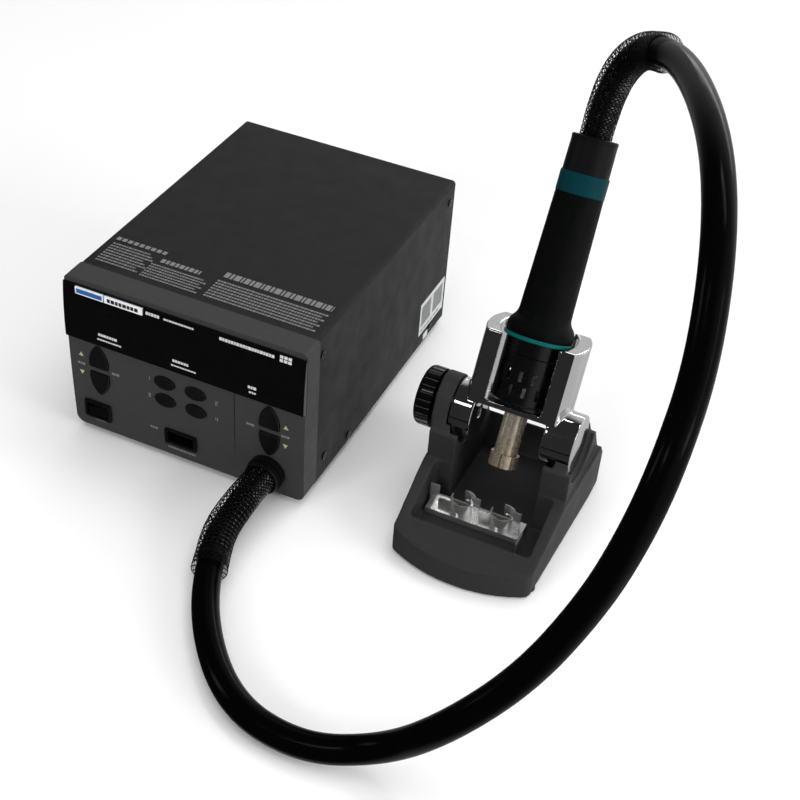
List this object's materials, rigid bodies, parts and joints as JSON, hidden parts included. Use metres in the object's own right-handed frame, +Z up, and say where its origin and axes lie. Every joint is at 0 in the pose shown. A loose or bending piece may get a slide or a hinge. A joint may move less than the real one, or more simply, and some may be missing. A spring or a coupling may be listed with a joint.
{
  "type": "hot air rework station",
  "caption": "Bench hot air rework station: dark control unit with display strip and keys, hose, and hot air gun held in a tilting plated cradle on a tray stand",
  "frame": {"origin": "middle of the floor box of everything except the free hose and its boots, on the table", "axes": "+Z up, -Y the front with the display and keys, +X to the right, where the gun stand is"},
  "size_m": [0.4345, 0.4336, 0.3381],
  "materials": {
    "case_paint": "fine matte powder coat",
    "panel_plastic": "finely textured dark grey moulding",
    "gloss_black": "polished black",
    "badge_print": "plain blue and white tiles",
    "key_plastic": "satin black keys",
    "black_plastic": "satin black moulding",
    "stand_paint": "matte dark grey casting paint",
    "plated": "dark mirror plating",
    "steel": "bright zinc",
    "nozzle_steel": "warm nickel tone, heat tinted",
    "foot_rubber": "matte",
    "hose_rubber": "smooth glossy black silicone",
    "boot_mesh": "braided sleeve over a wire spring",
    "grip_rubber": "soft touch matte black",
    "barrel_black": "satin black heat resistant",
    "teal": "bright teal ring",
    "teal_dark": "dark teal band",
    "tail_grey": "dark grey moulding",
    "circuit": "green board",
    "ceramic": "off white ceramic",
    "iron": "laminated core",
    "contact": "bright"
  },
  "bodies": {
    "root": {"case_cover": "case_paint", "chassis": "case_paint", "rear_panel": "case_paint", "mains_inlet": "black_plastic", "inlet_pins": "contact", "inlet_screws": "steel", "case_screws": "barrel_black", "rubber_feet": "foot_rubber", "bezel": "panel_plastic", "display_window": "gloss_black", "badge_plate": "badge_print", "display_board": "circuit", "control_board": "circuit", "rocker_frame": "black_plastic", "port_socket": "black_plastic", "outlet_collar": "black_plastic", "transformer": "iron", "blower_housing": "black_plastic", "blower_motor": "steel", "stand_base": "stand_paint", "stand_feet": "foot_rubber", "nozzle_rack": "steel", "clamp_stud": "steel", "friction_washer": "barrel_black", "saddle_liner": "barrel_black", "hose": "hose_rubber", "station_boot": "boot_mesh"},
    "gun": {"gun_barrel": "barrel_black", "heater_core": "ceramic", "nozzle": "nozzle_steel", "gun_grip": "grip_rubber", "gun_ring": "teal", "gun_band": "teal_dark", "gun_tail": "tail_grey", "gun_boot": "boot_mesh"},
    "cradle": {"cradle": "plated"},
    "knob": {"tilt_knob": "gloss_black"},
    "rocker": {"rocker_key": "gloss_black"},
    "impeller": {"blower_impeller": "black_plastic"},
    "key_temp_up": {"key_temp_up": "key_plastic"},
    "key_temp_down": {"key_temp_down": "key_plastic"},
    "key_air_up": {"key_air_up": "key_plastic"},
    "key_air_down": {"key_air_down": "key_plastic"},
    "key_preset_1": {"key_preset_1": "key_plastic"},
    "key_preset_2": {"key_preset_2": "key_plastic"},
    "key_preset_3": {"key_preset_3": "key_plastic"},
    "key_preset_4": {"key_preset_4": "key_plastic"}
  },
  "joints": [
    {"name": "temp_up_press", "type": "slide", "parent": "root", "child": "key_temp_up", "axis": [0, 1, 0], "range_m": [0, 0.001], "stiffness_N_per_m": 500, "springref_m": -0.001},
    {"name": "temp_down_press", "type": "slide", "parent": "root", "child": "key_temp_down", "axis": [0, 1, 0], "range_m": [0, 0.001], "stiffness_N_per_m": 500, "springref_m": -0.001},
    {"name": "air_up_press", "type": "slide", "parent": "root", "child": "key_air_up", "axis": [0, 1, 0], "range_m": [0, 0.001], "stiffness_N_per_m": 500, "springref_m": -0.001},
    {"name": "air_down_press", "type": "slide", "parent": "root", "child": "key_air_down", "axis": [0, 1, 0], "range_m": [0, 0.001], "stiffness_N_per_m": 500, "springref_m": -0.001},
    {"name": "preset_1_press", "type": "slide", "parent": "root", "child": "key_preset_1", "axis": [0, 1, 0], "range_m": [0, 0.001], "stiffness_N_per_m": 500, "springref_m": -0.001},
    {"name": "preset_2_press", "type": "slide", "parent": "root", "child": "key_preset_2", "axis": [0, 1, 0], "range_m": [0, 0.001], "stiffness_N_per_m": 500, "springref_m": -0.001},
    {"name": "preset_3_press", "type": "slide", "parent": "root", "child": "key_preset_3", "axis": [0, 1, 0], "range_m": [0, 0.001], "stiffness_N_per_m": 500, "springref_m": -0.001},
    {"name": "preset_4_press", "type": "slide", "parent": "root", "child": "key_preset_4", "axis": [0, 1, 0], "range_m": [0, 0.001], "stiffness_N_per_m": 500, "springref_m": -0.001},
    {"name": "rocker_tilt", "type": "hinge", "parent": "root", "child": "rocker", "pos_m": [-0.1554, -0.107, 0.0225], "axis": [0, 0, 1], "range_deg": [-16, 0]},
    {"name": "impeller_spin", "type": "hinge", "parent": "root", "child": "impeller", "pos_m": [-0.04, 0.02, 0.035], "axis": [0, 0, 1], "continuous": true},
    {"name": "knob_turn", "type": "hinge", "parent": "root", "child": "knob", "pos_m": [0.06, -0.0385, 0.0687], "axis": [-1, 0, 0], "range_deg": [0, 270]},
    {"name": "cradle_tilt", "type": "hinge", "parent": "root", "child": "cradle", "pos_m": [0.122, -0.0385, 0.0687], "axis": [1, 0, 0], "range_deg": [-16, 26], "deforming": ["hose"]},
    {"name": "gun_lift", "type": "slide", "parent": "cradle", "child": "gun", "axis": [0, 0.4741, 0.8805], "range_m": [0, 0.12], "deforming": ["gun_boot"]}
  ]
}
